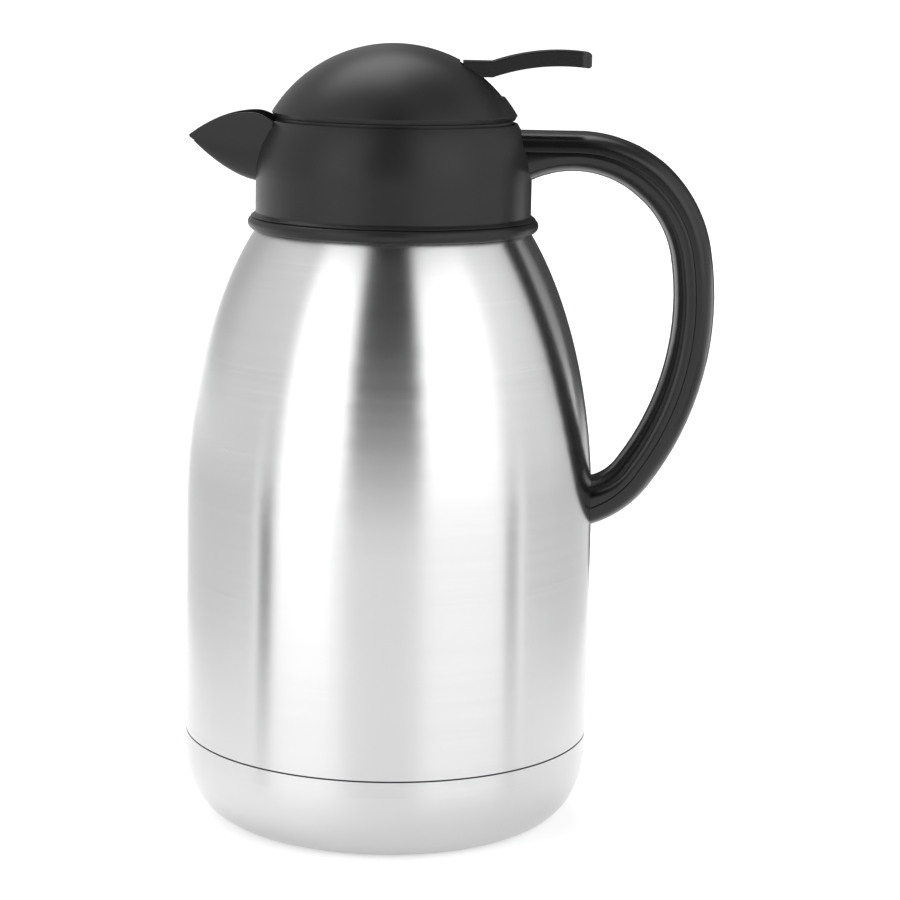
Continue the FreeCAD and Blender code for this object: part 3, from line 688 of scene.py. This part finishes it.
@dataclass
class LidThread:
    """Four-start screw thread between the stopper and its sleeve."""

    palette: Palette
    starts: int = 4
    lead: float = 0.024
    stopper_radius: float = 0.0299
    sleeve_radius: float = 0.0305
    ridge: float = 0.0002
    root: float = 0.0002
    foot: float = 0.0022
    crest: float = 0.0011
    stopper_span: Point = (0.2346, 0.2436)
    sleeve_span: Point = (0.2338, 0.2414)
    segments: int = 40

    def build(self) -> list[bpy.types.Object]:
        """Returns the two sets of ridges."""
        male = self._ridges("stopper_thread", self.stopper_radius, 1.0, self.stopper_span)
        female = self._ridges("sleeve_thread", self.sleeve_radius, -1.0, self.sleeve_span)
        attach(male, Carrier.LID.value)
        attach(female, Carrier.JUG.value)
        return [male, female]

    def _ridges(self, name: str, radius: float, side: float, span: Point) -> bpy.types.Object:
        """One set of ridges.

        Args:
            name: The piece's name.
            radius: The wall that the ridges stand on.
            side: 1 where they stand outwards, -1 inwards.
            span: The lowest and highest points.

        Returns:
            The finished piece.
        """
        bm = bmesh.new()
        low, high = span
        rise = high - low - self.foot
        middle = low + self.foot / 2
        root = radius - side * self.root
        tip = radius + side * self.ridge
        for start in range(self.starts):
            edges = outline(bm, ((root, middle - self.foot / 2), (tip, middle - self.crest / 2),
                                 (tip, middle + self.crest / 2), (root, middle + self.foot / 2)))
            bmesh.ops.rotate(bm, verts=ends(edges), cent=(0.0, 0.0, 0.0),
                             matrix=Matrix.Rotation(2 * math.pi * start / self.starts, 3, "Z"))
            turned(bm, edges, FULL_TURN * rise / self.lead, rise, self.segments)
        close_up(bm)
        piece = mesh_object(name, bm)
        self.palette.dress(piece, Slot.STOPPER)
        return piece


@dataclass
class ValveSpring:
    """Closing spring with flat end coils. The real one shortens as the valve lifts; this piece is built at
    one length.
    """

    palette: Palette
    radius: float = 0.0059
    wire: float = 0.0006
    low: float = 0.2343
    high: float = 0.2527
    turns: int = 5
    end_rise: float = 0.0013
    seat: float = 0.253
    keep: float = 0.727
    steps: int = 36
    wire_segments: int = 12
    crease: float = 60.0

    def build(self) -> list[bpy.types.Object]:
        """Returns the spring, riding on the lid."""
        bm = bmesh.new()
        place = (Matrix.Translation((self.radius, 0.0, self.low + self.wire))
                 @ Matrix.Rotation(math.pi / 2, 4, "X"))
        ring = bmesh.ops.create_circle(bm, segments=self.wire_segments, radius=self.wire, matrix=place)
        edges = list(dict.fromkeys(edge for vert in ring["verts"] for edge in vert.link_edges))
        climb = self.high - self.low - 2 * self.wire - 2 * self.end_rise
        for turns, rise in ((1, self.end_rise), (self.turns, climb), (1, self.end_rise)):
            edges = turned(bm, edges, FULL_TURN * turns, rise, self.steps * turns)
        close_up(bm, self.crease)
        spring = mesh_object("return_spring", bm)
        self.palette.dress(spring, Slot.HARDWARE)
        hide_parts("valve_spring")
        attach(spring, Carrier.LID.value)
        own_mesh(spring)
        return [spring]


@dataclass
class LoopHandle:
    """Two halves of the loop handle, parted along its middle, from the collar round to the wall."""

    palette: Palette
    height: float = 0.2476
    straight_end: float = 0.0661
    radii: tuple[float, ...] = (0.0427, 0.0444, 0.1062, 0.0331)
    turns: tuple[float, ...] = (40.3, 39.5, 46.8)
    thicknesses: tuple[float, ...] = (0.0143, 0.0156, 0.0146, 0.0147, 0.015)
    half_depth: float = 0.012
    corner: Point = (0.0056, 0.0102)
    grip_edge: Point = (0.0012, 0.00035)
    cover_edge: Point = (0.0001, 0.0001)
    root_flare: float = 0.004
    foot_flare: float = 0.0016
    flare_power: float = 2.2
    collar_radius: float = 0.0501
    crown_low: float = 0.2377
    crown_radius: float = 0.03606
    collar_sink: float = 0.001
    wall_reach: float = 0.0734
    steps: int = 16
    corner_steps: int = 12

    def build(self) -> list[bpy.types.Object]:
        """Returns both halves, riding on the jug."""
        return [self._half("grip_shell", "handle_grip", -1.0),
                self._half("cover_shell", "handle_cover", 1.0)]

    def _half(self, name: str, node: str, side: float) -> bpy.types.Object:
        """One half.

        Args:
            name: The piece's name.
            node: The CAD node that it stands for.
            side: 1 for the outer half, -1 for the inner.

        Returns:
            The finished piece.
        """
        bm = bmesh.new()
        lofted(bm, self._root(side) + self._bends(side))
        close_up(bm)
        piece = mesh_object(name, bm)
        self.palette.dress(piece, Slot.HANDLE)
        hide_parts(node)
        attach(piece, Carrier.JUG.value)
        return piece

    def _section(self, half: float, side: float) -> list[Point]:
        """Distances from the parting plane and from the middle plane, round one half's section."""
        run, inset = self.grip_edge if side < 0.0 else self.cover_edge
        points = [(0.0, inset - self.half_depth), (run, -self.half_depth)]
        for index in range(self.corner_steps + 1):
            angle = math.pi / 2 * index / self.corner_steps
            points.append((half - self.corner[0] * (1.0 - math.sin(angle)),
                           self.corner[1] * (1.0 - math.cos(angle)) - self.half_depth))
        return points + [(out, -across) for out, across in reversed(points)]

    def _root(self, side: float) -> list[list[Vector]]:
        """Sections of the straight upper end, from inside the collar's wall."""
        rings = []
        for step in range(self.steps, 0, -1):
            share = step / self.steps
            flare = self.root_flare * share ** self.flare_power if side < 0.0 else 0.0
            ring = []
            for out, across in self._section(self.thicknesses[0] / 2 + flare, side):
                z = self.height + side * out
                start = math.sqrt((self._collar(z) - self.collar_sink) ** 2 - across ** 2)
                ring.append(Vector((self.straight_end + share * (start - self.straight_end), across, z)))
            rings.append(ring)
        return rings

    def _collar(self, z: float) -> float:
        """Radius of the collar's outside at a height."""
        above = max(0.0, z - self.crown_low)
        return self.collar_radius - self.crown_radius + math.sqrt(self.crown_radius ** 2 - above ** 2)

    def _bends(self, side: float) -> list[list[Vector]]:
        """Sections along the bends; the last bend ends where it is inside the wall."""
        rings = []
        heading = 0.0
        place = Vector((self.straight_end, 0.0, self.height))
        for index, radius in enumerate(self.radii):
            centre = place - outward(heading) * radius
            last = index == len(self.turns)
            for step in range(0 if index == 0 else 1, self.steps + 1):
                share = step / self.steps
                before, after = self.thicknesses[index:index + 2]
                flare = self.foot_flare * share ** self.flare_power if last and side < 0.0 else 0.0
                ring = []
                for out, across in self._section((before + (after - before) * share) / 2 + flare, side):
                    reach = radius + side * out
                    end = (math.asin((self.wall_reach - centre.x) / reach) - math.pi if last
                           else heading - math.radians(self.turns[index]))
                    point = centre + outward(heading + share * (end - heading)) * reach
                    ring.append(Vector((point.x, across, point.z)))
                rings.append(ring)
            if not last:
                heading -= math.radians(self.turns[index])
                place = centre + outward(heading) * radius
        return rings


@dataclass(frozen=True)
class ScrewPlace:
    """Where a screw's head is seated, which way its head looks, and its shank's length."""

    name: str
    seat: tuple[float, float, float]
    facing: tuple[float, float, float]
    shank: float


@dataclass
class HandleScrews:
    """Pan-head screws of the handle, with cross recesses."""

    palette: Palette
    head_radius: float = 0.0028
    head_height: float = 0.0012
    shank_radius: float = 0.0015
    shank_taper: float = 0.7
    edge: float = 0.0004
    edge_segments: int = 4
    rim: float = 0.0007
    slot_half: float = 0.00042
    slot_depth: float = 0.0008
    slot_taper: float = 0.75
    level: float = 1e-6
    crease: float = 30.0
    segments: int = 48
    places: tuple[ScrewPlace, ...] = (
        ScrewPlace("upper_screw", (0.05577, 0.0, 0.24028), (0.299, 0.0, -0.954), 0.0075),
        ScrewPlace("lower_screw", (0.08486, 0.0, 0.11679), (0.5606, 0.0, -0.8281), 0.008),
    )

    def build(self) -> list[bpy.types.Object]:
        """Returns both screws, riding on the jug."""
        screws = [self._screw(place) for place in self.places]
        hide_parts("handle_screws")
        return screws

    def _screw(self, place: ScrewPlace) -> bpy.types.Object:
        """One screw, built along +Z and then put in its place."""
        bm = bmesh.new()
        self._shank(bm, place.shank)
        self._head(bm)
        close_up(bm, self.crease)
        turn = Vector(place.facing).to_track_quat("Z", "Y").to_matrix().to_4x4()
        bmesh.ops.transform(bm, matrix=Matrix.Translation(place.seat) @ turn, verts=bm.verts)
        piece = mesh_object(place.name, bm)
        self.palette.dress(piece, Slot.HARDWARE)
        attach(piece, Carrier.JUG.value)
        return piece

    def _shank(self, bm: bmesh.types.BMesh, length: float) -> None:
        """Adds the shank below the head."""
        bmesh.ops.create_cone(bm, cap_ends=True, segments=self.segments // 2,
                              radius1=self.shank_radius * self.shank_taper, radius2=self.shank_radius,
                              depth=length, matrix=Matrix.Translation((0.0, 0.0, -length / 2)))

    def _head(self, bm: bmesh.types.BMesh) -> None:
        """Adds the head, with a rounded rim and a cross pressed into its top."""
        made = bmesh.ops.create_cone(bm, cap_ends=True, segments=self.segments, radius1=self.head_radius,
                                     radius2=self.head_radius, depth=self.head_height,
                                     matrix=Matrix.Translation((0.0, 0.0, self.head_height / 2)))
        high = self.head_height - self.level
        head = set(made["verts"])
        brim = [edge for edge in bm.edges if all(vert in head and vert.co.z > high for vert in edge.verts)]
        bmesh.ops.bevel(bm, geom=brim, offset=self.edge, segments=self.edge_segments, profile=0.5,
                        affect="EDGES", material=-1)
        top = max(bm.faces, key=lambda face: (round(face.calc_center_median().z, 6), face.calc_area()))
        bmesh.ops.inset_individual(bm, faces=[top], thickness=self.rim)
        cut = [top]
        for axis in ((1.0, 0.0, 0.0), (0.0, 1.0, 0.0)):
            for side in (1.0, -1.0):
                spot = Vector(axis) * side * self.slot_half + Vector((0.0, 0.0, self.head_height))
                inner = [face for face in bm.faces if face in cut]
                edges = list(dict.fromkeys(edge for face in inner for edge in face.edges))
                found = bmesh.ops.bisect_plane(bm, geom=[*inner, *edges, *ends(edges)], dist=MERGE_DISTANCE,
                                               plane_co=spot, plane_no=axis)
                cut = [part for part in found["geom"] if isinstance(part, bmesh.types.BMFace)]
        cross = [face for face in cut if min(abs(face.calc_center_median().x),
                                             abs(face.calc_center_median().y)) < self.slot_half]
        pressed = bmesh.ops.extrude_face_region(bm, geom=cross)
        moved = [part for part in pressed["geom"] if isinstance(part, bmesh.types.BMVert)]
        bmesh.ops.delete(bm, geom=cross, context="FACES_ONLY")
        bmesh.ops.translate(bm, verts=moved, vec=(0.0, 0.0, -self.slot_depth))
        bmesh.ops.scale(bm, verts=moved, vec=(self.slot_taper, self.slot_taper, 1.0))


def main() -> None:
    """Builds the jug's looks and reports each piece."""
    palette = Palette()
    palette.dress_nodes()
    for assembly in (SeamShadeRing(palette), LidThread(palette), ValveSpring(palette), LoopHandle(palette),
                     HandleScrews(palette)):
        for piece in assembly.build():
            log.info("%s: %s with %d faces", type(assembly).__name__, piece.name, len(piece.data.polygons))
    Studio().build()


if __name__ == "__main__":
    logging.basicConfig(level=logging.INFO)
    main()
